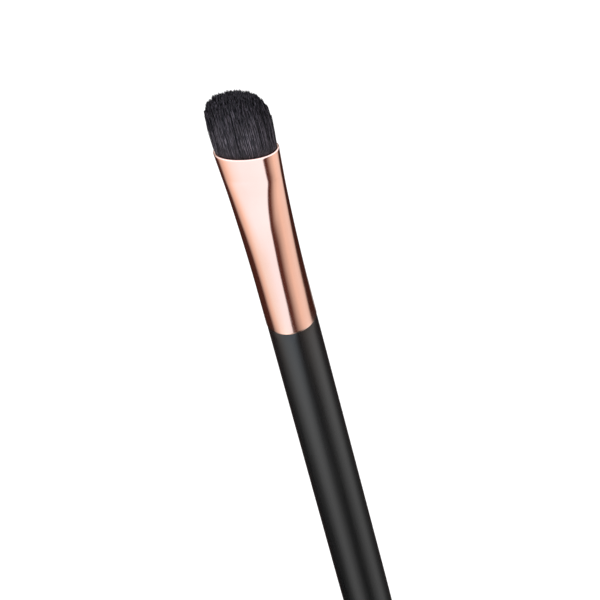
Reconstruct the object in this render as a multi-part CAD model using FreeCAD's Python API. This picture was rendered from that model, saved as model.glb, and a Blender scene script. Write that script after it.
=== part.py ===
import FreeCAD, Part
import math
import os

from FreeCAD import Matrix, Vector

# Eyeshadow brush, in millimetres. It stands upright: +Z runs along the handle to the tip of the
# tuft, X is the wide way of the flattened mouth and -Y is the flat front. The origin is on the axis,
# in the middle of the straight barrel where the fingers hold it.

# Handle: a turned wooden stick with a straight barrel, a long taper, a round end and a glued tenon
barrel_radius = 3.54
barrel_length = 50.0
tail_length = 78.0
tail_radius = 2.3
shoulder_round = 0.06
lead_in_length = 1.0
lead_in_drop = 0.04
tenon_length = 11.0
tenon_chamfer = 0.6
groove_count = 3
groove_width = 0.9
groove_depth = 0.3

# Ferrule: a thin drawn tube, left round over the socket, spread towards the mouth and pressed flat
# between jaws that leave a band of even thickness below the lip
ferrule_radius = 3.6
ferrule_wall = 0.32
ferrule_length = 31.26
socket_length = 7.0
mouth_half_width = 4.55
mouth_half_thickness = 2.43
lip_round = 0.13
seam_round = 0.08
press_length = 4.2
press_power = 3
flare_slope_share = 0.1
section_count = 8

# Bonded pieces inside the ferrule
glue_gap = 0.2
bond_gap = 0.03
tenon_clearance = 1.0
resin_length = 8.0
root_cover = 1.0
binding_offset = 1.0
binding_height = 1.5
thread_thickness = 0.3
waist_radius = 2.6
bundle_spread_length = 8.0

# Tuft: filaments that swell a little above the mouth and are cut to a blunt dome
tuft_length = 9.5
tuft_half_width = 4.48
tuft_half_thickness = 2.2
shoulder_height = 4.4
dome_power = 2.9
dome_points = 7
bend_clearance = 0.2
neck_height_share = 0.25
neck_width_share = 0.95
neck_thickness_share = 0.79
seat_depth_share = 0.6

seam = barrel_length / 2
mouth = seam + ferrule_length
socket_top = seam + socket_length
press_foot = mouth - press_length
bore_radius = ferrule_radius - ferrule_wall
tenon_radius = bore_radius - glue_gap
tenon_top = seam + tenon_length
resin_low = tenon_top + tenon_clearance
root_end = resin_low + root_cover
binding_low = root_end + binding_offset
binding_top = binding_low + binding_height
base_half_width = mouth_half_width - ferrule_wall - bend_clearance
base_half_thickness = mouth_half_thickness - ferrule_wall - bend_clearance
axis = Vector(0, 0, 1)


def at(radius, height):
    return Vector(radius, 0, height)


def arc_edge(centre, radius, start, end):
    """Arc in the XZ plane between two angles, measured from +X."""
    angles = (start, (start + end) / 2, end)
    points = [centre + at(radius * math.cos(a), radius * math.sin(a)) for a in angles]
    return Part.Arc(*points).toShape()


def line_edges(points):
    return [Part.makeLine(a, b) for a, b in zip(points, points[1:])]


def turned(edges):
    """Solid of revolution about the brush's axis."""
    face = Part.Face(Part.Wire(edges))
    return face.revolve(Vector(), axis, math.degrees(2 * math.pi))


def ring(inner, outer, low, height):
    tube = Part.makeCylinder(outer, height, at(0, low))
    return tube.cut(Part.makeCylinder(inner, height, at(0, low)))


def oval(half_width, half_thickness, height):
    """Closed elliptical wire at one height, or a circle where both sides are alike."""
    if half_width == half_thickness:
        return Part.Wire([Part.makeCircle(half_width, at(0, height))])
    return Part.Wire([Part.Ellipse(at(0, height), half_width, half_thickness).toShape()])


def steps(low, high, count):
    return [low + (high - low) * i / (count - 1) for i in range(count)]


def rise(height, top):
    """0 up to the top of the socket, 1 from the given top upwards."""
    return min(max((height - socket_top) / (top - socket_top), 0), 1)


def tube_section(height, inset):
    """Half width and half thickness of the pressed tube, less an inset."""
    flare = rise(height, mouth)
    flare = flare_slope_share * flare + (1 - flare_slope_share) * flare**2
    pressed = rise(height, press_foot) ** press_power
    half_width = ferrule_radius + (mouth_half_width - ferrule_radius) * flare
    half_thickness = ferrule_radius + (mouth_half_thickness - ferrule_radius) * pressed
    return half_width - inset, half_thickness - inset


def tube_core(low, high, inset):
    """What fills the pressed tube between two heights, held off its outside by the inset."""
    levels = [low] + [z for z in (socket_top, press_foot) if low < z < high] + [high]
    stages = []
    for start, end in zip(levels, levels[1:]):
        if end <= socket_top:
            stages.append(Part.makeCylinder(ferrule_radius - inset, end - start, at(0, start)))
        else:
            wires = [oval(*tube_section(z, inset), z) for z in steps(start, end, section_count)]
            stages.append(Part.makeLoft(wires, True))
    return stages[0].multiFuse(stages[1:]) if len(stages) > 1 else stages[0]


def make_handle():
    barrel_low = -barrel_length / 2
    drop = barrel_radius - tail_radius
    # The taper is one arc, tangent to the barrel and to the ball of the round end
    spare = drop + tail_radius - tail_length
    taper = (math.sqrt(spare**2 + 4 * drop * (tail_radius + tail_length)) - spare) / 2
    taper_radius = (taper**2 + drop**2) / (2 * drop)
    tilt = 2 * math.atan(drop / taper)
    ball_radius = tail_radius / math.cos(tilt)
    ball_height = barrel_low - taper + tail_radius * math.tan(tilt)
    # The lacquer thins a little just below the ferrule
    neck_radius = barrel_radius - lead_in_drop
    rim = neck_radius - shoulder_round
    side = [
        at(barrel_radius, barrel_low),
        at(barrel_radius, seam - lead_in_length),
        at(neck_radius, seam - shoulder_round),
    ]
    top = [
        at(rim, seam),
        at(tenon_radius, seam),
        at(tenon_radius, tenon_top - tenon_chamfer),
        at(tenon_radius - tenon_chamfer, tenon_top),
        at(0, tenon_top),
        at(0, ball_height - ball_radius),
    ]
    edges = [arc_edge(at(0, ball_height), ball_radius, -math.pi / 2, -tilt)]
    edges += [arc_edge(at(barrel_radius - taper_radius, barrel_low), taper_radius, -tilt, 0)]
    edges += line_edges(side)
    edges += [arc_edge(at(rim, seam - shoulder_round), shoulder_round, 0, math.pi / 2)]
    edges += line_edges(top)
    handle = turned(edges)
    for low in groove_lows():
        handle = handle.cut(ring(tenon_radius - groove_depth, bore_radius, low, groove_width))
    return handle


def groove_lows():
    """Undersides of the glue grooves, spread evenly along the tenon."""
    pitch = tenon_length / (groove_count + 1)
    return [seam + pitch * (i + 1) - groove_width / 2 for i in range(groove_count)]


def make_tenon_glue():
    """Cured film round the tenon, keyed into its grooves."""
    film_radius = tenon_radius + bond_gap
    film = tube_core(seam + bond_gap, tenon_top - tenon_chamfer, ferrule_wall + bond_gap)
    film = film.cut(Part.makeCylinder(film_radius, tenon_length, at(0, seam)))
    for low in groove_lows():
        key_height = groove_width - 2 * bond_gap
        key = ring(film_radius - groove_depth, tenon_radius + glue_gap / 2, low + bond_gap, key_height)
        film = film.fuse(key)
    return film.removeSplitter()


def make_ferrule():
    ferrule = tube_core(seam, mouth, 0).cut(tube_core(seam, mouth, ferrule_wall))
    lip = [e for e in ferrule.Edges if e.BoundBox.ZMin > mouth - lip_round]
    ferrule = ferrule.makeFillet(lip_round, lip)
    foot = [e for e in ferrule.Edges if e.BoundBox.ZMax < seam + seam_round]
    outer_foot = [e for e in foot if e.BoundBox.XLength > bore_radius + ferrule_radius]
    return ferrule.makeFillet(seam_round, outer_foot)


def root_bundle(grow):
    """Bound root ends, a waist that spreads out, then a bundle that fills the tube."""
    full = binding_top + bundle_spread_length
    inset = ferrule_wall + bond_gap
    wires = []
    for z in steps(binding_top, full, section_count):
        spread = (z - binding_top) / bundle_spread_length
        spread = spread * spread * (3 - 2 * spread)
        sides = [waist_radius + (side - waist_radius) * spread for side in tube_section(z, inset)]
        wires.append(oval(sides[0] + grow, sides[1] + grow, z))
    waist = Part.makeCylinder(waist_radius + grow, binding_top - root_end + grow, at(0, root_end - grow))
    return waist.fuse(Part.makeLoft(wires, True))


def make_filament_roots():
    full = binding_top + bundle_spread_length
    top = mouth - base_half_thickness * seat_depth_share
    roots = root_bundle(0).fuse(tube_core(full, top, ferrule_wall + bond_gap))
    return roots.cut(bend_seat(bend_clearance))


def bend_seat(grow):
    """Round base of the tuft: a spheroid about the line across the mouth that the tuft bends on."""
    stretch = Matrix()
    stretch.A11 = (base_half_width + grow) / (base_half_thickness + grow)
    ball = Part.makeSphere(base_half_thickness + grow)
    ball = ball.transformGeometry(stretch)
    ball.translate(at(0, mouth))
    return ball


def make_root_binding():
    inner = waist_radius + bond_gap
    return ring(inner, inner + thread_thickness, binding_low, binding_height)


def make_root_resin():
    resin = tube_core(resin_low, resin_low + resin_length, ferrule_wall + bond_gap)
    resin = resin.cut(root_bundle(bond_gap))
    band_outer = waist_radius + thread_thickness + 2 * bond_gap
    band = Part.makeCylinder(band_outer, binding_height + 2 * bond_gap, at(0, binding_low - bond_gap))
    return resin.cut(band)


def make_filament_tuft():
    low = mouth + base_half_thickness * neck_height_share
    shoulder = mouth + shoulder_height
    neck = oval(tuft_half_width * neck_width_share, tuft_half_thickness * neck_thickness_share, low)
    body = Part.makeLoft([neck, oval(tuft_half_width, tuft_half_thickness, shoulder)], True)
    crown_height = tuft_length - shoulder_height
    points = []
    for angle in steps(0, math.pi / 2, dome_points):
        out = max(math.cos(angle), 0) ** (2 / dome_power)
        up = math.sin(angle) ** (2 / dome_power)
        points.append(at(tuft_half_width * out, shoulder + crown_height * up))
    curve = Part.BSplineCurve()
    curve.interpolate(points, InitialTangent=axis, FinalTangent=Vector(-1, 0, 0))
    base = line_edges([points[-1], at(0, shoulder), points[0]])
    squash = Matrix()
    squash.A22 = tuft_half_thickness / tuft_half_width
    dome = turned([curve.toShape()] + base).transformGeometry(squash)
    return body.fuse(dome).fuse(bend_seat(0))


pieces = {
    "handle": make_handle(),
    "tenon_glue": make_tenon_glue(),
    "ferrule": make_ferrule(),
    "root_resin": make_root_resin(),
    "root_binding": make_root_binding(),
    "filament_roots": make_filament_roots(),
    "filament_tuft": make_filament_tuft(),
}

os.makedirs("parts", exist_ok=True)
for name, shape in pieces.items():
    shape.exportStep(f"parts/{name}.step")
    box = shape.BoundBox
    print(f"{name}: {len(shape.Solids)} solid, {shape.Volume:.2f} mm3, valid {shape.isValid()},"
          f" x {box.XMin:.2f} {box.XMax:.2f}, y {box.YMin:.2f} {box.YMax:.2f}, z {box.ZMin:.2f} {box.ZMax:.2f}")
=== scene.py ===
import math

import bpy
import numpy as np
from mathutils import Matrix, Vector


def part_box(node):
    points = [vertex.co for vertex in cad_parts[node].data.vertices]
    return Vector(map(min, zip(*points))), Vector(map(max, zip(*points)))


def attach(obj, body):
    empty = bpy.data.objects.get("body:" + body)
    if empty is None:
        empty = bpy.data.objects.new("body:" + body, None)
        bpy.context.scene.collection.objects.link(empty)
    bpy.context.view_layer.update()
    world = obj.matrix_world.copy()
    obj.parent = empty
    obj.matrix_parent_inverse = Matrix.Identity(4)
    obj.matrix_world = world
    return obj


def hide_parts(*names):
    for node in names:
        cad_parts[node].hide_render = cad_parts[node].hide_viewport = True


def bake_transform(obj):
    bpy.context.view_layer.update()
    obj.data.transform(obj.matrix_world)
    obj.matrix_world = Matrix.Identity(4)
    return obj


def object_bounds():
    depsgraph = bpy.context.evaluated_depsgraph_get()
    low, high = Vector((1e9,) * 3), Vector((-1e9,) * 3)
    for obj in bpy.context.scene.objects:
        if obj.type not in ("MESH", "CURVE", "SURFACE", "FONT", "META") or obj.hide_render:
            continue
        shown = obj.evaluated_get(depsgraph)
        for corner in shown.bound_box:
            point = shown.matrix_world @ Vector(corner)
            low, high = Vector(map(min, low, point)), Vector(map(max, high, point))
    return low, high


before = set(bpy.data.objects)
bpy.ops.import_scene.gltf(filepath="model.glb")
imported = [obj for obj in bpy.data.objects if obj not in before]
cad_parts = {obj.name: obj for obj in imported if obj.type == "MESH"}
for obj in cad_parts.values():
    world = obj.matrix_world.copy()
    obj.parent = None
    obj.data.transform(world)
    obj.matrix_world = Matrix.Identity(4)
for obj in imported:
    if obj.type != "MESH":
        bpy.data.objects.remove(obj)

cadLow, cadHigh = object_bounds()
mm = 0.001
fullTurn = 2 * math.pi
handleLow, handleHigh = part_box("handle")
ferruleLow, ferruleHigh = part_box("ferrule")
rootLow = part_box("filament_roots")[0]
seamZ = ferruleLow.z
mouthZ = ferruleHigh.z
print("frame loaded, box in mm", [round(v / mm, 2) for v in (*cadLow, *cadHigh)])


# Mesh from points and sets of faces, with a UV pair for each face corner in the same order
def meshPiece(name, points, faceSets, uvSets):
    mesh = bpy.data.meshes.new(name)
    mesh.from_pydata(points.tolist(), [], [face for faces in faceSets for face in faces.tolist()])
    layer = mesh.uv_layers.new(name="surface")
    layer.data.foreach_set("uv", np.concatenate([uv.ravel() for uv in uvSets]))
    mesh.polygons.foreach_set("use_smooth", np.ones(len(mesh.polygons), bool))
    mesh.update()
    piece = bpy.data.objects.new(name, mesh)
    bpy.context.scene.collection.objects.link(piece)
    return piece


# Faces of rows of rings: row i, column j joins to the next row and, round the ring, to the next column
def ringFaces(rows, columns, wrapRows):
    rowCount = rows if wrapRows else rows - 1
    i, j = np.meshgrid(np.arange(rowCount), np.arange(columns), indexing="ij")
    iNext, jNext = (i + 1) % rows, (j + 1) % columns
    low, high = i * columns, iNext * columns
    quads = np.stack([low + j, low + jNext, high + jNext, high + j], -1)
    u = np.stack([j, j + 1, j + 1, j], -1) / columns
    v = np.stack([i, i, i + 1, i + 1], -1) / rowCount
    return quads.reshape(-1, 4), np.stack([u, v], -1).reshape(-1, 8)


# Turned piece: radius and height run along a profile from pole to pole, carried round the axis
def turnedPiece(name, radius, height, columns):
    turn = np.linspace(0, fullTurn, columns, endpoint=False)
    inner = slice(1, -1)
    x = radius[inner, None] * np.cos(turn)
    y = radius[inner, None] * np.sin(turn)
    z = np.broadcast_to(height[inner, None], x.shape)
    rings = np.stack([x, y, z], -1).reshape(-1, 3)
    poles = np.array([[0, 0, height[0]], [0, 0, height[-1]]])
    rows = len(radius) - 2
    quads, quadUv = ringFaces(rows, columns, False)
    j = np.arange(columns)
    jNext = (j + 1) % columns
    top = (rows - 1) * columns
    low = np.stack([jNext, j, np.full(columns, len(rings))], -1)
    high = np.stack([top + j, top + jNext, np.full(columns, len(rings) + 1)], -1)
    poleUv = np.stack([j, j * 0, jNext, j * 0, j, j * 0], -1) / columns
    return meshPiece(name, np.concatenate([rings, poles]), [quads, low, high], [quadUv, poleUv, poleUv])


# A socket takes a link from another node, or a plain value
def feed(tree, socket, value):
    if isinstance(value, bpy.types.NodeSocket):
        tree.links.new(value, socket)
    else:
        socket.default_value = value


def addNode(tree, kind, **values):
    node = tree.nodes.new(kind)
    for key, value in values.items():
        if key in node.inputs:
            feed(tree, node.inputs[key], value)
        else:
            setattr(node, key, value)
    return node


def nodeMaterial(name):
    material = bpy.data.materials.new(name)
    material.use_nodes = True
    return material, material.node_tree


def setShader(tree, values):
    shader = tree.nodes["Principled BSDF"]
    for key, value in values.items():
        feed(tree, shader.inputs[key], value)


def objectPlace(tree):
    return addNode(tree, "ShaderNodeTexCoord").outputs["Object"]


def splitParts(tree, vector):
    return addNode(tree, "ShaderNodeSeparateXYZ", Vector=vector).outputs


def surfaceUv(tree):
    return splitParts(tree, addNode(tree, "ShaderNodeUVMap", uv_map="surface").outputs["UV"])


def mathNode(tree, operation, *values):
    node = addNode(tree, "ShaderNodeMath", operation=operation)
    for socket, value in zip(node.inputs, values):
        feed(tree, socket, value)
    return node.outputs[0]


def mapRange(tree, value, fromSpan=(0, 1), toSpan=(0, 1), kind="LINEAR"):
    node = addNode(tree, "ShaderNodeMapRange", interpolation_type=kind, Value=value)
    for name, (low, high) in {"From": fromSpan, "To": toSpan}.items():
        node.inputs[name + " Min"].default_value = low
        node.inputs[name + " Max"].default_value = high
    return node.outputs["Result"]


def mixColours(tree, factor, first, second, blend="MIX"):
    node = addNode(tree, "ShaderNodeMix", data_type="RGBA", blend_type=blend, Factor=factor)
    feed(tree, node.inputs[6], first)
    feed(tree, node.inputs[7], second)
    return node.outputs[2]


def mixValues(tree, factor, first, second):
    node = addNode(tree, "ShaderNodeMix", data_type="FLOAT", Factor=factor)
    feed(tree, node.inputs[2], first)
    feed(tree, node.inputs[3], second)
    return node.outputs[0]


def rampColour(tree, factor, stops):
    node = addNode(tree, "ShaderNodeValToRGB", Fac=factor)
    ramp = node.color_ramp
    while len(ramp.elements) < len(stops):
        ramp.elements.new(0.5)
    for element, (place, colour) in zip(ramp.elements, stops):
        element.position = place
        element.color = (*colour, 1)
    return node.outputs["Color"]


# Noise over the object's own coordinates, with its cycles per metre along x, y and z
def noiseFactor(tree, place, cycles, detail):
    stretched = addNode(tree, "ShaderNodeMapping", Vector=place, Scale=cycles).outputs["Vector"]
    return addNode(tree, "ShaderNodeTexNoise", Vector=stretched, Scale=1.0, Detail=detail).outputs["Fac"]


# Ferrule: a drawn tube, round over the socket, flared to the mouth and pressed flat in a band below the lip
ferruleShape = {
    "radius": 3.6 * mm,
    "wall": 0.32 * mm,
    "socket": 7.0 * mm,
    "mouthHalfWidth": 4.55 * mm,
    "mouthHalfThickness": 2.43 * mm,
    "slopeShare": 0.1,
    "pressLength": 4.2 * mm,
    "pressPower": 3,
    "jawPower": 2.28,
    "jawOnset": 4,
    "lipSpring": 0.6,
    "creaseRound": 0.4 * mm,
    "lipRound": 0.22 * mm,
    "lipInside": 0.1 * mm,
    "seamRound": 0.08 * mm,
    "columns": 240,
    "outerRows": 150,
    "innerRows": 24,
    "cornerRows": 7,
}
lipFootZ = mouthZ - ferruleShape["lipInside"]


# Half sizes of the tube at a height: the width grows by a slope and a square law up to the mouth, the
# thickness falls by a cube law to the press band and stays there, with the crease between them rounded
# by a parabola. How flat the jaws press it comes third: full at the crease, less towards the lip
def tubeSection(height):
    shape = ferruleShape
    socketTop = seamZ + shape["socket"]
    pressFoot = mouthZ - shape["pressLength"]
    reach = np.clip((height - socketTop) / (mouthZ - socketTop), 0, 1)
    flare = shape["slopeShare"] * reach + (1 - shape["slopeShare"]) * reach**2
    over, bend = height - pressFoot, shape["creaseRound"]
    eased = np.where(over < -bend, over, -np.clip(bend - over, 0, None) ** 2 / (4 * bend))
    pressed = np.clip(1 + eased / (pressFoot - socketTop), 0, 1) ** shape["pressPower"]
    halfWidth = shape["radius"] + (shape["mouthHalfWidth"] - shape["radius"]) * flare
    halfThickness = shape["radius"] + (shape["mouthHalfThickness"] - shape["radius"]) * pressed
    sprung = shape["lipSpring"] * np.clip(over / shape["pressLength"], 0, 1)
    flat = pressed ** shape["jawOnset"] * (1 - sprung)
    return halfWidth, halfThickness, flat


# Jaws flatten the oval: the radius of |x|^p + |y|^p = 1 in a direction, with p from 2 up to the jaws' power
def jawRadius(cosine, sine, flat):
    power = 2 + (ferruleShape["jawPower"] - 2) * flat
    return (np.abs(cosine) ** power + np.abs(sine) ** power) ** (-1 / power)


# The tube's wall as a closed loop of height and inset: up the outside, round the lip, down the inside and
# round the foot, carried round the pressed oval of each height
def makeFerrule():
    shape = ferruleShape
    lip, inner, foot, wall = shape["lipRound"], shape["lipInside"], shape["seamRound"], shape["wall"]
    quarter = np.linspace(0, math.pi / 2, shape["cornerRows"])
    side = np.linspace(seamZ + foot, mouthZ - lip, shape["outerRows"])
    inside = np.linspace(lipFootZ, seamZ, shape["innerRows"])
    height = np.concatenate([
        side[:-1],
        mouthZ - lip + lip * np.sin(quarter),
        lipFootZ + inner * np.cos(quarter[1:]),
        inside[1:],
        seamZ + foot - foot * np.cos(quarter[:-1]),
    ])
    inset = np.concatenate([
        np.zeros(len(side) - 1),
        lip - lip * np.cos(quarter),
        wall - inner + inner * np.sin(quarter[1:]),
        np.full(len(inside) - 1, wall),
        foot - foot * np.sin(quarter[:-1]),
    ])
    turn = np.linspace(0, fullTurn, shape["columns"], endpoint=False)
    halfWidth, halfThickness, flat = tubeSection(height)
    reach = jawRadius(np.cos(turn), np.sin(turn), flat[:, None])
    x = (halfWidth - inset)[:, None] * np.cos(turn) * reach
    y = (halfThickness - inset)[:, None] * np.sin(turn) * reach
    z = np.broadcast_to(height[:, None], x.shape)
    points = np.stack([x, y, z], -1).reshape(-1, 3)
    quads, quadUv = ringFaces(len(height), shape["columns"], True)
    piece = meshPiece("ferrule_tube", points, [quads], [quadUv])
    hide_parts("ferrule")
    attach(piece, "grip")
    return piece


# Handle: straight barrel, one long arc of taper, a ball at the tail, and the tenon in the ferrule
handleShape = {
    "radius": 3.54 * mm,
    "barrel": 50.0 * mm,
    "tailRadius": 2.3 * mm,
    "shoulderRound": 0.06 * mm,
    "leadInLength": 1.0 * mm,
    "leadInDrop": 0.04 * mm,
    "tenonRadius": 3.08 * mm,
    "columns": 192,
    "ballRows": 24,
    "taperRows": 60,
    "barrelRows": 60,
    "cornerRows": 6,
}


# Profile from the tail's pole to the tenon's top: ball arc, taper arc tangent to it and to the barrel,
# barrel, a slight lead-in and a rounded shoulder
def makeHandle():
    shape = handleShape
    radius, tailRadius = shape["radius"], shape["tailRadius"]
    barrelLow = seamZ - shape["barrel"]
    drop = radius - tailRadius
    tail = barrelLow - handleLow.z
    spare = drop + tailRadius - tail
    taper = (math.sqrt(spare**2 + 4 * drop * (tailRadius + tail)) - spare) / 2
    taperRadius = (taper**2 + drop**2) / (2 * drop)
    tilt = 2 * math.atan(drop / taper)
    ballRadius = tailRadius / math.cos(tilt)
    ballZ = barrelLow - taper + tailRadius * math.tan(tilt)
    ball = np.linspace(-math.pi / 2, -tilt, shape["ballRows"])
    bend = np.linspace(-tilt, 0, shape["taperRows"])[1:]
    barrel = np.linspace(barrelLow, seamZ - shape["leadInLength"], shape["barrelRows"])[1:]
    corner = np.linspace(0, math.pi / 2, shape["cornerRows"])
    rim = radius - shape["leadInDrop"] - shape["shoulderRound"]
    profileRadius = np.concatenate([
        ballRadius * np.cos(ball),
        radius - taperRadius + taperRadius * np.cos(bend),
        np.full(len(barrel), radius),
        rim + shape["shoulderRound"] * np.cos(corner),
        [shape["tenonRadius"], shape["tenonRadius"], 0],
    ])
    profileHeight = np.concatenate([
        ballZ + ballRadius * np.sin(ball),
        barrelLow + taperRadius * np.sin(bend),
        barrel,
        seamZ - shape["shoulderRound"] * (1 - np.sin(corner)),
        [seamZ, handleHigh.z, handleHigh.z],
    ])
    piece = turnedPiece("handle_stick", profileRadius, profileHeight, shape["columns"])
    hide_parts("handle")
    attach(piece, "grip")
    return piece


# Filaments: thousands of thin tapered tubes, tied at the roots, filling the mouth and trimmed to a blunt
# dome; they part into fine strands along their length and into small pointed locks at the tips
filamentShape = {
    "count": 6600,
    "seed": 11,
    "diameter": 0.072 * mm,
    "sides": 3,
    "halfWidth": 4.5 * mm,
    "halfThickness": 2.22 * mm,
    "placeJitter": 0.5,
    "gridJitter": 0.22,
    "shoulder": 4.4 * mm,
    "shoulderHalfWidth": 4.44 * mm,
    "shoulderShift": 0.06 * mm,
    "crown": 9.5 * mm,
    "domePower": 3.0,
    "domeRim": 0.995,
    "lipRise": 0.36 * mm,
    "lipSpill": (0.13 * mm, 0.03 * mm),
    # shares of the free length where a strand or a lock starts to draw together and where it is done
    "strandSpacing": 0.12 * mm,
    "strandPull": 0.5,
    "strandFrom": (0.04, 0.35),
    "strandBow": 0.04 * mm,
    "lockSpacing": 0.3 * mm,
    "lockPull": (0.4, 0.86),
    "lockFrom": (0.58, 1.0),
    "lockLean": 0.04 * mm,
    "lockLengths": 0.09 * mm,
    "spike": 0.28 * mm,
    "spikePower": 1.5,
    "spikeMean": 0.5,
    "tipLengths": 0.05 * mm,
    "bow": 0.025 * mm,
    "strayShare": 0.03,
    "strayBow": 5.0,
    # heights above the root end, then shares of the free length, where each filament has a ring
    "rootRings": (0, 3 * mm, 8 * mm),
    "rings": (0.0, 0.02, 0.1, 0.25, 0.42, 0.6, 0.78, 0.9, 0.975, 1.0),
    "taper": [(0, 1), (0.5, 1), (0.9, 0.85), (0.975, 0.6)],
    "waist": 2.5 * mm,
    "tieHeight": 2.5 * mm,
    "spreadLength": 8 * mm,
    "bendShare": 0.8,
    "shadeShares": (0.05, 0.5, 0.45),
    "layers": ("heart", "middle", "outer"),
}


# Sunflower layout: equal areas of the unit disc, each point turned by the golden angle
def sunflower(count):
    index = np.arange(count) + 0.5
    rho = np.sqrt(index / count)
    turn = index * math.pi * (3 - math.sqrt(5))
    return np.stack([rho * np.cos(turn), rho * np.sin(turn)], -1)


# Jittered triangular grid over the tuft's oval, in metres
def scattered(rng, spacing, half):
    columns, rows = np.ceil(half / spacing).astype(int) + 1
    i, j = np.meshgrid(np.arange(-columns, columns + 1), np.arange(-rows * 2, rows * 2 + 1), indexing="ij")
    grid = np.stack([i + 0.5 * (j % 2), j * math.sqrt(0.75)], -1).reshape(-1, 2) * spacing
    grid = grid + rng.normal(0, filamentShape["gridJitter"] * spacing, grid.shape)
    return grid[np.linalg.norm(grid / half, axis=1) < 1.0]


def nearestOf(points, centres):
    return np.argmin(((points[:, None] - centres[None]) ** 2).sum(-1), 1)


def smoothStep(value):
    value = np.clip(value, 0, 1)
    return value * value * (3 - 2 * value)


def spanShare(value, span):
    return (value - span[0]) / (span[1] - span[0])


# Half sizes of the bundle at a height: a round tied waist that spreads to fill the tube, spills over the
# lip and swells to the shoulder; then how flat it is pressed and how far it has swelled
def bundleSection(z):
    shape = filamentShape
    wide, thick, flat = tubeSection(np.minimum(z, mouthZ))
    inset = ferruleShape["wall"] + 0.5 * shape["diameter"]
    swell = np.clip((z - mouthZ) / shape["shoulder"], 0, 1)
    spill = smoothStep((z - lipFootZ) / shape["lipRise"]) * (1 - swell)
    tied = smoothStep((z - rootLow.z - shape["tieHeight"]) / shape["spreadLength"])
    full = shape["shoulderHalfWidth"], shape["halfThickness"]
    sizes = []
    for tube, shoulder, over in zip((wide, thick), full, shape["lipSpill"]):
        free = (tube - inset) * (1 - swell) + shoulder * swell + over * spill
        sizes.append(shape["waist"] + (free - shape["waist"]) * tied)
    return *sizes, flat * (1 - swell), swell


# Each filament's centre line: its place in the oval times the bundle's size at each height, drawn to the
# middle of its strand along the way and of its lock at the tip; its length is a blunt dome
# (1 - rho^p)^(1/p), less a spike term that grows away from the lock's middle
def filamentLines(rng):
    shape = filamentShape
    count = shape["count"]
    half = np.array([shape["halfWidth"], shape["halfThickness"]])
    place = sunflower(count) + rng.normal(0, shape["placeJitter"] / math.sqrt(count), (count, 2))
    place = half * place / np.maximum(np.linalg.norm(place, axis=1, keepdims=True), 1)
    locks = scattered(rng, shape["lockSpacing"], half)
    strands = scattered(rng, shape["strandSpacing"], half)
    lock, strand = nearestOf(place, locks), nearestOf(place, strands)
    lockTips = locks + rng.normal(0, shape["lockLean"], locks.shape)
    strandPlace = place + shape["strandPull"] * (strands[strand] - place)
    pull = rng.uniform(*shape["lockPull"], (count, 1))
    tipPlace = strandPlace + pull * (lockTips[lock] - strandPlace)

    rho = np.clip(np.linalg.norm(tipPlace / half, axis=1), 0, shape["domeRim"])
    dome = (1 - rho ** shape["domePower"]) ** (1 / shape["domePower"])
    away = np.linalg.norm(place - locks[lock], axis=1) / (0.5 * shape["lockSpacing"])
    length = shape["shoulder"] + (shape["crown"] - shape["shoulder"]) * dome
    length = length + rng.normal(0, shape["lockLengths"], len(locks))[lock]
    length = length - shape["spike"] * (away ** shape["spikePower"] - shape["spikeMean"])
    length = length + rng.normal(0, shape["tipLengths"], count)

    rootHeights = np.array([rootLow.z + rise for rise in shape["rootRings"]] + [lipFootZ])
    below = np.broadcast_to(rootHeights, (count, len(rootHeights)))
    above = mouthZ + length[:, None] * np.array(shape["rings"])
    z = np.concatenate([below, above], 1)
    along = np.concatenate([np.zeros(below.shape), np.broadcast_to(shape["rings"], above.shape)], 1)
    wide, thick, flat, swell = bundleSection(z)
    parted = smoothStep(spanShare(along, shape["strandFrom"]))[..., None]
    drawn = smoothStep(spanShare(along, shape["lockFrom"]))[..., None]
    centre = place[:, None] + (strandPlace - place)[:, None] * parted
    centre = centre + (tipPlace - strandPlace)[:, None] * drawn
    bow = rng.normal(0, shape["bow"], (count, 1, 2))
    stray = rng.uniform(0, 1, (count, 1, 1)) < shape["strayShare"]
    bow = np.where(stray, shape["strayBow"] * bow, bow)
    bow = bow + rng.normal(0, shape["strandBow"], strands.shape)[strand][:, None]
    centre = centre + bow * (np.sin(along * math.pi) + along**2)[..., None]
    rhoOfPlace = np.linalg.norm(place / half, axis=1)
    unit = place / half / rhoOfPlace[:, None]
    reach = jawRadius(unit[:, :1], unit[:, 1:], flat)
    x = centre[..., 0] / half[0] * wide * reach + shape["shoulderShift"] * swell
    y = centre[..., 1] / half[1] * thick * reach

    ofLock, ofStrand, own = shape["shadeShares"]
    shade = ofLock * rng.uniform(0, 1, len(locks))[lock]
    shade = shade + ofStrand * rng.uniform(0, 1, len(strands))[strand]
    shade = shade + own * rng.uniform(0, 1, count)
    return np.stack([x, y, z], -1), along, rhoOfPlace, shade


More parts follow.
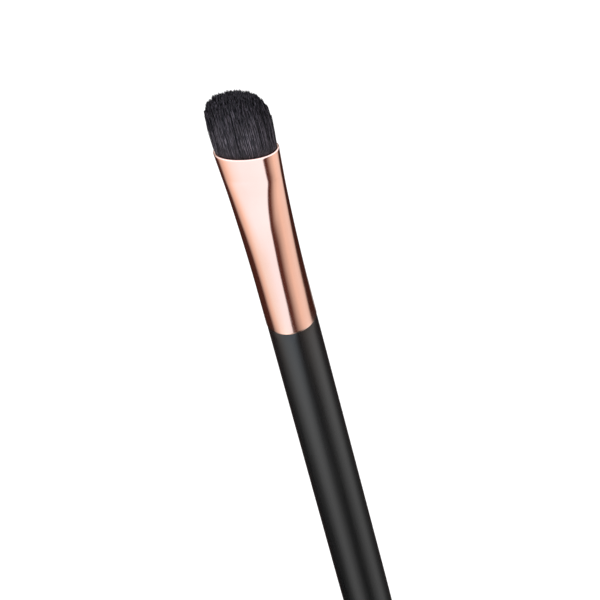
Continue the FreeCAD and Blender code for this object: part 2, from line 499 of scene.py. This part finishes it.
# A tube round each centre line: rings of a few points whose radius tapers to a single point at the tip
def filamentPiece(name, lines, along, shade, twist):
    shape = filamentShape
    count, stations = along.shape
    rings, sides = stations - 1, shape["sides"]
    taper = np.interp(along[:, :-1], *zip(*shape["taper"]))
    turn = twist[:, None] + np.arange(sides) * fullTurn / sides
    circle = np.stack([np.cos(turn), np.sin(turn), np.zeros(turn.shape)], -1)
    tube = lines[:, :-1, None] + circle[:, None] * (taper * shape["diameter"] / 2)[:, :, None, None]
    points = np.concatenate([tube.reshape(count, -1, 3), lines[:, -1:]], 1).reshape(-1, 3)
    base = (np.arange(count) * (rings * sides + 1))[:, None, None]
    rows = ringFaces(rings, sides, False)[0]
    quads = (base + rows[None]).reshape(-1, 4)
    j = np.arange(sides)
    top = (rings - 1) * sides
    tip = np.stack([top + j, top + (j + 1) % sides, np.full(sides, rings * sides)], -1)
    root = j[::-1][None]
    triangles = (base + np.concatenate([tip, root])[None]).reshape(-1, 3)
    # u carries the filament's shade and v the share of its free length
    quadV = along[:, rows // sides]
    lastRing, end = shape["rings"][-2:]
    tipV = np.broadcast_to(np.array([lastRing, lastRing, end]), (count, sides, 3))
    triangleV = np.concatenate([tipV, np.zeros((count, 1, 3))], 1)
    uvSets = [np.stack([np.broadcast_to(shade[:, None, None], v.shape), v], -1) for v in (quadV, triangleV)]
    piece = meshPiece(name, points, [quads, triangles], uvSets)
    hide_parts("filament_tuft", "filament_roots")
    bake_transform(piece)
    return piece


def makeFilaments(material):
    shape = filamentShape
    rng = np.random.default_rng(shape["seed"])
    lines, along, rho, shade = filamentLines(rng)
    twist = rng.uniform(0, fullTurn, shape["count"])
    order = np.argsort(rho, kind="stable")
    for layer, part in zip(shape["layers"], np.array_split(order, len(shape["layers"]))):
        piece = filamentPiece("filaments_" + layer, lines[part], along[part], shade[part], twist[part])
        piece.data.materials.append(material)
        triangles = sum(len(p.vertices) - 2 for p in piece.data.polygons)
        print("filaments", layer, len(part), "triangles", triangles)


# Polished rose gold: mirror metal, faint lengthwise drawing lines and a trace of handling
roseGold = {
    "tones": [(0.3, (0.90, 0.585, 0.475)), (0.7, (0.92, 0.61, 0.50))],
    "roughness": (0.07, 0.13),
    "smudges": ((260, 260, 260), 4.0),
    "drawnLines": ((9000, 9000, 60), 3.0),
    "lineRelief": {"Strength": 0.02, "Distance": 0.01 * mm},
}


def makeRoseGold():
    material, tree = nodeMaterial("polishedRoseGold")
    place = objectPlace(tree)
    smudge = noiseFactor(tree, place, *roseGold["smudges"])
    lines = noiseFactor(tree, place, *roseGold["drawnLines"])
    setShader(tree, {
        "Metallic": 1.0,
        "Base Color": rampColour(tree, smudge, roseGold["tones"]),
        "Roughness": mapRange(tree, smudge, toSpan=roseGold["roughness"]),
        "Normal": addNode(tree, "ShaderNodeBump", Height=lines, **roseGold["lineRelief"]).outputs["Normal"],
    })
    return material


# Matte black lacquer on wood: near black, fine orange peel and faint lengthwise grain under the coat
lacquer = {
    "tones": [(0.3, (0.004, 0.004, 0.0042)), (0.7, (0.007, 0.0069, 0.007))],
    "roughness": (0.25, 0.32),
    "specular": 0.6,
    "grain": ((2600, 2600, 90), 4.0),
    "peel": ((4200, 4200, 4200), 2.0),
    "peelRelief": {"Strength": 0.06, "Distance": 0.03 * mm},
}


def makeLacquer():
    material, tree = nodeMaterial("matteBlackLacquer")
    place = objectPlace(tree)
    grain = noiseFactor(tree, place, *lacquer["grain"])
    peel = noiseFactor(tree, place, *lacquer["peel"])
    setShader(tree, {
        "Base Color": rampColour(tree, grain, lacquer["tones"]),
        "Roughness": mapRange(tree, grain, toSpan=lacquer["roughness"]),
        "Specular IOR Level": lacquer["specular"],
        "Normal": addNode(tree, "ShaderNodeBump", Height=peel, **lacquer["peelRelief"]).outputs["Normal"],
    })
    return material


# Dark filaments: each one takes its own shade from u, broken into short streaks by noise drawn out along
# the axis and evened out at the foot. Along v a painted shade darkens it towards the tip, where the tips
# shade each other, and at the foot under the lip, where a painted warm reflection of the ferrule tints it;
# a painted shade also darkens it at the tuft's narrow sides, which are less glossy there too
filamentFinish = {
    "streaks": [((12000, 12000, 340), 0.4), ((10000, 10000, 1300), 0.26)],
    "streakSpan": (0.3, 0.7),
    "foot": (0.06, 0.36),
    "footShare": 0.6,
    "footShade": 0.45,
    "tones": [
        (0.1, (0.010, 0.0085, 0.0112)), (0.32, (0.020, 0.0172, 0.0222)), (0.54, (0.054, 0.0468, 0.0585)),
        (0.75, (0.126, 0.110, 0.135)), (0.95, (0.22, 0.194, 0.232)),
    ],
    # painted shade along the length: darker at the foot, tinted warm there by a painted reflection of the
    # ferrule, and darkest at the tip
    "paintedShadeAlong": [
        (0.0, (0.7, 0.6, 0.57)), (0.12, (0.84, 0.8, 0.8)), (0.3, (0.9, 0.89, 0.89)),
        (0.5, (0.99, 0.99, 0.99)), (1.0, (0.42, 0.4, 0.42)),
    ],
    # painted shade at the tuft's narrow sides: where it starts and ends across, how it rises along v, and
    # its tone
    "sideShadeFrom": (1.4 * mm, 4.4 * mm),
    "sideShadeRise": (0.1, 0.4),
    "paintedSideShade": (0.7, 0.7, 0.7, 1),
    "specular": (0.45, 0.22),
    "roughness": 0.4,
}


def makeFilamentMaterial():
    finish = filamentFinish
    material, tree = nodeMaterial("darkFilaments")
    place, uv = objectPlace(tree), surfaceUv(tree)
    shade, along = uv["X"], uv["Y"]
    for cycles, reach in finish["streaks"]:
        streak = noiseFactor(tree, place, cycles, 0.0)
        shade = mathNode(tree, "ADD", shade, mapRange(tree, streak, finish["streakSpan"], (-reach, reach)))
    foot = mapRange(tree, along, finish["foot"], (finish["footShare"], 0.0), "SMOOTHSTEP")
    shade = mixValues(tree, foot, shade, finish["footShade"])
    tone = rampColour(tree, shade, finish["tones"])
    # multiply in the painted shade along the length
    tone = mixColours(tree, 1.0, tone, rampColour(tree, along, finish["paintedShadeAlong"]), "MULTIPLY")
    # painted shade at the narrow sides, where less light reaches; the gloss is lowered there too
    across = mathNode(tree, "ABSOLUTE", splitParts(tree, place)["X"])
    outward = mapRange(tree, across, finish["sideShadeFrom"], kind="SMOOTHSTEP")
    upward = mapRange(tree, along, finish["sideShadeRise"], kind="SMOOTHSTEP")
    side = mathNode(tree, "MULTIPLY", outward, upward)
    setShader(tree, {
        "Base Color": mixColours(tree, side, tone, finish["paintedSideShade"], "MULTIPLY"),
        "Specular IOR Level": mapRange(tree, side, toSpan=finish["specular"]),
        "Roughness": finish["roughness"],
    })
    return material


# Hidden pieces keep their CAD solids, each with a plain mottled finish
hiddenFinish = {
    "tenon_glue": {"name": "curedGlue", "colour": (0.80, 0.72, 0.50), "roughness": 0.45},
    "root_resin": {"name": "curedResin", "colour": (0.78, 0.66, 0.40), "roughness": 0.2},
    "root_binding": {"name": "cottonThread", "colour": (0.75, 0.72, 0.65), "roughness": 0.8},
}
mottle = {"noise": ((900, 900, 900), 3.0), "span": (0.3, 0.7), "darker": 0.85}


def makeHiddenMaterials():
    low, high = mottle["span"]
    for node, finish in hiddenFinish.items():
        material, tree = nodeMaterial(finish["name"])
        spots = noiseFactor(tree, objectPlace(tree), *mottle["noise"])
        darker = [mottle["darker"] * c for c in finish["colour"]]
        setShader(tree, {
            "Base Color": rampColour(tree, spots, [(low, darker), (high, finish["colour"])]),
            "Roughness": finish["roughness"],
        })
        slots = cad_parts[node].data.materials
        slots.clear()
        slots.append(material)


# Studio: pale floor, soft lamps that shine on the origin, and a bright background
studio = {
    "floorSize": 6.0,
    "floorGap": 0.1 * mm,
    "floorColour": (0.86, 0.86, 0.86, 1),
    "floorRoughness": 0.9,
    "floorLift": 0.45,
    "world": 0.45,
    "lampSize": 0.6,
    "lamps": {
        "keyLamp": {"place": (-0.7, -0.7, 0.6), "power": 9.0},
        "fillLamp": {"place": (0.8, -0.5, 0.4), "power": 4.0},
    },
}


# 1 for a ray that shows the background itself: from the camera, off a gloss or through glass
def seenDirectly(tree):
    path = addNode(tree, "ShaderNodeLightPath").outputs
    seen = path["Is Camera Ray"]
    for ray in ("Is Glossy Ray", "Is Transmission Ray"):
        seen = mathNode(tree, "MAXIMUM", seen, path[ray])
    return seen


def makeFloor():
    half = studio["floorSize"] / 2
    z = cadLow.z - studio["floorGap"]
    mesh = bpy.data.meshes.new("floor")
    corners = [(-half, -half, z), (half, -half, z), (half, half, z), (-half, half, z)]
    mesh.from_pydata(corners, [], [(0, 1, 2, 3)])
    floor = bpy.data.objects.new("floor", mesh)
    bpy.context.scene.collection.objects.link(floor)
    material, tree = nodeMaterial("paleFloor")
    setShader(tree, {
        "Base Color": studio["floorColour"],
        "Roughness": studio["floorRoughness"],
        "Specular IOR Level": 0.0,
        "Emission Color": (1, 1, 1, 1),
        "Emission Strength": mathNode(tree, "MULTIPLY", seenDirectly(tree), studio["floorLift"]),
    })
    mesh.materials.append(material)


def makeWorld():
    world = bpy.data.worlds.new("studioWorld")
    bpy.context.scene.world = world
    world.use_nodes = True
    tree = world.node_tree
    back = tree.nodes["Background"]
    feed(tree, back.inputs["Color"], (1, 1, 1, 1))
    feed(tree, back.inputs["Strength"], mapRange(tree, seenDirectly(tree), toSpan=(studio["world"], 1.0)))


# Lamp or camera at a place, with its own right, up and back directions
def placedObject(name, data, right, up, back, place):
    holder = bpy.data.objects.new(name, data)
    bpy.context.scene.collection.objects.link(holder)
    turn = np.eye(4)
    turn[:3] = np.stack([right, up, back, place], -1)
    holder.matrix_world = Matrix(turn.tolist())
    return holder


def makeLamps():
    for name, values in studio["lamps"].items():
        lamp = bpy.data.lights.new(name, "AREA")
        lamp.size = studio["lampSize"]
        lamp.energy = values["power"]
        place = np.array(values["place"])
        back = place / np.linalg.norm(place)
        right = np.cross((0, 0, 1), back)
        right /= np.linalg.norm(right)
        placedObject(name, lamp, right, np.cross(back, right), back, place)


# Camera at the photograph's view: azimuth and elevation round the axis, rolled, at a distance from a target
cameraView = {
    "azimuth": 19.24,
    "elevation": 42.0,
    "roll": -14.94,
    "distance": 500.0 * mm,
    "targetX": 1.875 * mm,
    "targetAboveSeam": 3.149 * mm,
    "lens": 217.455,
    "sensor": 36.0,
    "nearest": 10 * mm,
}


def makeCamera():
    view = cameraView
    azimuth, elevation, roll = (math.radians(view[k]) for k in ("azimuth", "elevation", "roll"))
    level = math.cos(elevation)
    back = np.array([math.sin(azimuth) * level, -math.cos(azimuth) * level, math.sin(elevation)])
    side = np.array([math.cos(azimuth), math.sin(azimuth), 0])
    top = np.cross(back, side)
    right = math.cos(roll) * side + math.sin(roll) * top
    up = math.cos(roll) * top - math.sin(roll) * side
    target = np.array([view["targetX"], 0, seamZ + view["targetAboveSeam"]])
    lens = bpy.data.cameras.new("photoCamera")
    lens.lens = view["lens"]
    lens.sensor_width = view["sensor"]
    lens.clip_start = view["nearest"]
    place = target + view["distance"] * back
    bpy.context.scene.camera = placedObject("photoCamera", lens, right, up, back, place)


# Card tent: a drum of light cards that only reflections see, in tiers that fade into each other over a
# span of height. A card is given by its degrees right of the photo camera, its brightness and its tint
cardTent = {
    "radius": 60 * mm,
    "hole": 0.6 * mm,
    "top": 200 * mm,
    "columns": 180,
    "handleTier": (-75 * mm, -30 * mm),
    "ferruleTier": (-29 * mm, -26 * mm),
    "upperTier": (-6 * mm, 8 * mm),
    "ceilingTier": (34 * mm, 62 * mm),
    "tints": {
        "pureWhite": (1.0, 1.0, 1.0),
        "coolWhite": (0.86, 1.0, 1.16),
        "pinkWhite": (1.0, 0.9, 0.86),
        "skyWhite": (0.91, 1.0, 1.16),
        "warmWhite": (1.0, 0.82, 0.73),
        "peachWhite": (1.0, 0.77, 0.67),
        "flagBrown": (1.0, 0.37, 0.29),
    },
    # a large soft card, a flag, a warm card, then dark
    "ferruleCards": [
        (-106, 0.07, "flagBrown"), (-101, 0.07, "flagBrown"), (-86, 0.72, "warmWhite"),
        (-76, 0.94, "warmWhite"), (-60, 1.05, "pureWhite"), (-20, 1.3, "coolWhite"),
        (-1, 1.34, "coolWhite"), (2, 0.11, "flagBrown"), (16, 0.1, "flagBrown"), (34, 0.62, "warmWhite"),
        (54, 0.98, "warmWhite"), (86, 1.0, "pinkWhite"), (101, 0.86, "pinkWhite"),
        (112, 0.06, "flagBrown"), (117, 0.05, "flagBrown"),
    ],
    "upperCards": [
        (-106, 0.07, "flagBrown"), (-101, 0.07, "flagBrown"), (-86, 0.7, "warmWhite"),
        (-73, 0.98, "peachWhite"), (-60, 1.14, "pinkWhite"), (-42, 1.37, "coolWhite"),
        (-1, 1.44, "coolWhite"), (2, 0.11, "flagBrown"), (10, 0.11, "flagBrown"), (27, 0.76, "warmWhite"),
        (46, 1.08, "warmWhite"), (76, 1.04, "pinkWhite"), (92, 0.86, "pinkWhite"),
        (110, 0.06, "flagBrown"), (116, 0.05, "flagBrown"),
    ],
    # the handle sees a broad card on each side of a dark middle
    "handleCards": [
        (-130, 0.015, "pureWhite"), (-100, 0.03, "pureWhite"), (-80, 0.42, "pureWhite"),
        (-60, 1.15, "pureWhite"), (-40, 1.6, "pureWhite"), (-24, 1.3, "pureWhite"), (-6, 0.3, "pureWhite"),
        (8, 0.04, "pureWhite"), (24, 0.05, "pureWhite"), (44, 0.62, "pureWhite"), (62, 1.1, "pureWhite"),
        (78, 1.1, "pureWhite"), (92, 0.5, "pureWhite"), (108, 0.08, "pureWhite"), (130, 0.03, "pureWhite"),
    ],
    "barrelCards": [
        (-130, 0.01, "pureWhite"), (-80, 0.02, "pureWhite"), (-62, 0.35, "pureWhite"),
        (-46, 0.85, "pureWhite"), (-32, 1.0, "pureWhite"), (-20, 0.75, "pureWhite"),
        (-4, 0.28, "pureWhite"), (10, 0.04, "pureWhite"), (24, 0.05, "pureWhite"), (44, 0.45, "pureWhite"),
        (62, 0.75, "pureWhite"), (78, 0.75, "pureWhite"), (92, 0.36, "pureWhite"),
        (108, 0.08, "pureWhite"), (130, 0.04, "pureWhite"),
    ],
    # the lip and the filaments see the ceiling, which is dim behind both ends of the lip
    "ceilingCards": [
        (-180, 1.75, "skyWhite"), (-170, 1.6, "skyWhite"), (-152, 0.5, "pinkWhite"),
        (-118, 0.5, "pinkWhite"), (-98, 1.4, "skyWhite"), (-60, 1.75, "skyWhite"), (117, 1.75, "skyWhite"),
        (130, 0.35, "pinkWhite"), (165, 0.35, "pinkWhite"), (175, 1.6, "skyWhite"), (180, 1.75, "skyWhite"),
    ],
    # a card behind the object: half its angle, its brightness, its soft edge and the gap beside it
    "backHalfAngle": {"handle": 24, "ferrule": 18, "upper": 26},
    "backBrightness": {"handle": 0.5, "ferrule": 0.5, "upper": 1.0},
    "backEdge": (-8, 6),
    "backGap": 0.05,
    # how far the edges of the ferrule's cards lean round the drum: height in mm, degrees
    "leanSpan": (-30, 30),
    "leanReach": 20,
    "leans": {
        "left": [
            (-26, 2), (-22, -1.3), (-16, -2.3), (-9, -3.4), (-3, -6.5), (1, -11), (5, -11), (8, -14),
            (14, -16),
        ],
        "middle": [
            (-26, -10), (-24, -9), (-21, -4.4), (-15, -1.3), (-5, 1.8), (2, 2.1), (3.6, 1.2), (5, 0.6),
            (7.5, 1.8), (14, 2.2), (19, 3.7), (22, 6.3),
        ],
        "right": [
            (-25, -16), (-22, -12), (-18, -6.5), (-13, -1), (-8, 0.5), (-5.5, -1), (-3, -4), (-1.5, -5),
            (0.5, -3.5),
        ],
    },
    "leanTurns": {"middle": (-70, -30), "right": (30, 70)},
    "unseenBy": ("camera", "diffuse", "shadow", "transmission"),
}


def turnShare(degrees):
    return (degrees + 180) / 360


def rampStops(cards):
    tints = cardTent["tints"]
    return [(turnShare(place), [bright * c for c in tints[tint]]) for place, bright, tint in cards]


# One tier of cards as ramp stops: the front cards, then a card behind the object with soft sides
def cardStops(tier, front):
    tent = cardTent
    half, level = tent["backHalfAngle"][tier], tent["backBrightness"][tier]
    inner, outer = tent["backEdge"]
    behind = [(half - 180 + inner, level, "pureWhite"), (half - 180 + outer, tent["backGap"], "flagBrown")]
    mirrored = [(-place, bright, tint) for place, bright, tint in reversed(behind)]
    left, right = (-180, level, "pureWhite"), (180, level, "pureWhite")
    return rampStops([left] + behind + tent[front] + mirrored + [right])


# Lean of the card edges as a share of a turn: a curve over height for the left, middle and right of the view
def leanOfCards(tree, around, height):
    tent = cardTent
    reach, span = tent["leanReach"], tent["leanSpan"]
    share = mapRange(tree, height, [v * mm for v in span])
    curves = {}
    for side, leans in tent["leans"].items():
        stops = [(spanShare(z, span), [0.5 + degrees / (2 * reach)] * 3) for z, degrees in leans]
        curves[side] = rampColour(tree, share, stops)
    lean = curves["left"]
    for side, turns in tent["leanTurns"].items():
        factor = mapRange(tree, around, [turnShare(degrees) for degrees in turns], kind="SMOOTHSTEP")
        lean = mixColours(tree, factor, lean, curves[side])
    return mapRange(tree, lean, toSpan=(-reach / 360, reach / 360))


def makeCardMaterial():
    tent = cardTent
    material, tree = nodeMaterial("lightCards")
    tree.nodes.clear()
    around, height = surfaceUv(tree)["X"], splitParts(tree, objectPlace(tree))["Z"]
    slanted = mathNode(tree, "SUBTRACT", around, leanOfCards(tree, around, height))
    tiers = {
        "handleTier": (around, cardStops("handle", "handleCards")),
        "ferruleTier": (slanted, cardStops("ferrule", "ferruleCards")),
        "upperTier": (slanted, cardStops("upper", "upperCards")),
        "ceilingTier": (around, rampStops(tent["ceilingCards"])),
    }
    light = rampColour(tree, around, cardStops("handle", "barrelCards"))
    for tier, (turn, stops) in tiers.items():
        step = mapRange(tree, height, tent[tier], kind="SMOOTHSTEP")
        light = mixColours(tree, step, light, rampColour(tree, turn, stops))
    glow = addNode(tree, "ShaderNodeEmission", Color=light, Strength=1.0)
    addNode(tree, "ShaderNodeOutputMaterial", Surface=glow.outputs["Emission"])
    return material


# The tent's drum: a profile out along the floor, up the wall and in along the ceiling, carried round the
# axis; u runs right round it, from behind the photo camera's view
def makeCardTent():
    tent = cardTent
    columns = tent["columns"]
    start = math.radians(cameraView["azimuth"] - 180)
    radius = np.array([tent["hole"], tent["radius"], tent["radius"], tent["hole"]])
    height = np.array([cadLow.z, cadLow.z, tent["top"], tent["top"]])
    i, j = np.meshgrid(np.arange(len(radius)), np.arange(columns + 1), indexing="ij")
    turn = start + j / columns * fullTurn
    points = np.stack([radius[i] * np.sin(turn), -radius[i] * np.cos(turn), height[i]], -1).reshape(-1, 3)
    corner = (i * (columns + 1) + j)[:-1, :-1].ravel()
    quads = np.stack([corner, corner + columns + 1, corner + columns + 2, corner + 1], -1)
    uv = np.stack([j / columns, i / (len(radius) - 1)], -1).reshape(-1, 2)[quads]
    piece = meshPiece("card_tent", points, [quads], [uv])
    piece.data.materials.append(makeCardMaterial())
    for ray in tent["unseenBy"]:
        setattr(piece, "visible_" + ray, False)


bpy.context.scene.view_settings.view_transform = "Standard"
makeFerrule().data.materials.append(makeRoseGold())
makeHandle().data.materials.append(makeLacquer())
makeFilaments(makeFilamentMaterial())
makeHiddenMaterials()
print("pieces made")
makeFloor()
makeWorld()
makeCardTent()
makeLamps()
makeCamera()
print("studio made")
